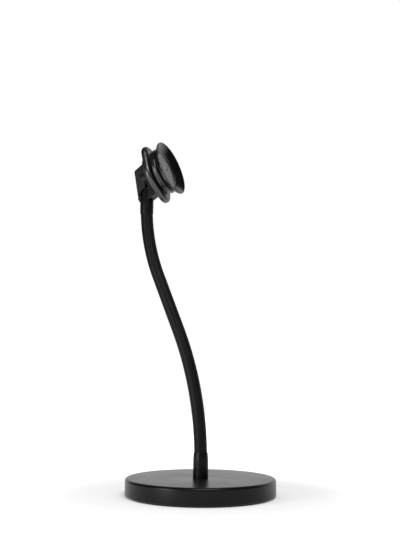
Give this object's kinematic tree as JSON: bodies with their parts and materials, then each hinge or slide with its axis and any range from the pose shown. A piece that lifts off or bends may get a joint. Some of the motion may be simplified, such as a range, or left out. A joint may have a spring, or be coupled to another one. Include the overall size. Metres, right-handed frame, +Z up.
{
  "type": "suction phone desk stand",
  "caption": "Desk stand for a phone: a heavy round base, a bendable sleeved neck and a tilted vacuum cup that an oval twist grip locks.",
  "frame": {"origin": "centre of the underside of the foot pad, on the table", "axes": "+Z up; the cup faces -Y and up; the neck leans back to +Y; +X completes the right hand"},
  "size_m": [0.15, 0.1509, 0.3654],
  "materials": {
    "base_black": "satin powder coat",
    "pad_rubber": "matt",
    "zinc_steel": "zinc plated",
    "sleeve_rubber": "smooth matt",
    "collar_black": "black anodised",
    "block_black": "satin black coat",
    "grip_black": "fine satin texture",
    "carrier_black": "satin",
    "cup_rubber": "glossy",
    "nylon_white": "natural nylon",
    "screw_black": "black oxide"
  },
  "bodies": {
    "base": {"base_weight": "base_black", "foot_pad": "pad_rubber", "base_bolt": "zinc_steel", "base_washer": "zinc_steel", "lower_ferrule": "zinc_steel", "lower_collar": "collar_black", "neck_core": "zinc_steel", "neck_sleeve": "sleeve_rubber"},
    "head": {"upper_ferrule": "zinc_steel", "upper_collar": "collar_black", "neck_block": "block_black", "neck_set_screw": "screw_black", "spindle_screw": "screw_black", "slip_washer": "nylon_white", "cup_carrier": "carrier_black", "suction_cup": "cup_rubber"},
    "grip": {"twist_grip": "grip_black"},
    "lift": {"plunger": "zinc_steel", "cross_pin": "zinc_steel", "plunger_spring": "zinc_steel"}
  },
  "joints": [
    {"name": "neck_bend", "type": "hinge", "parent": "base", "child": "head", "pos_m": [0, 0.027, 0.167], "axis": [1, 0, 0], "range_deg": [-30, 40], "deforming": ["neck_core", "neck_sleeve"]},
    {"name": "grip_twist", "type": "hinge", "parent": "head", "child": "grip", "pos_m": [0, 0.06453, 0.3282], "axis": [0, -0.9511, 0.309], "range_deg": [0, 75]},
    {"name": "plunger_lift", "type": "slide", "parent": "head", "child": "lift", "axis": [0, 0.9511, -0.309], "range_m": [0, 0.0024], "deforming": ["plunger_spring"]}
  ],
  "couplings": [
    {"joint": "grip_twist", "follows": "plunger_lift", "rad_per_m": 545.4}
  ]
}
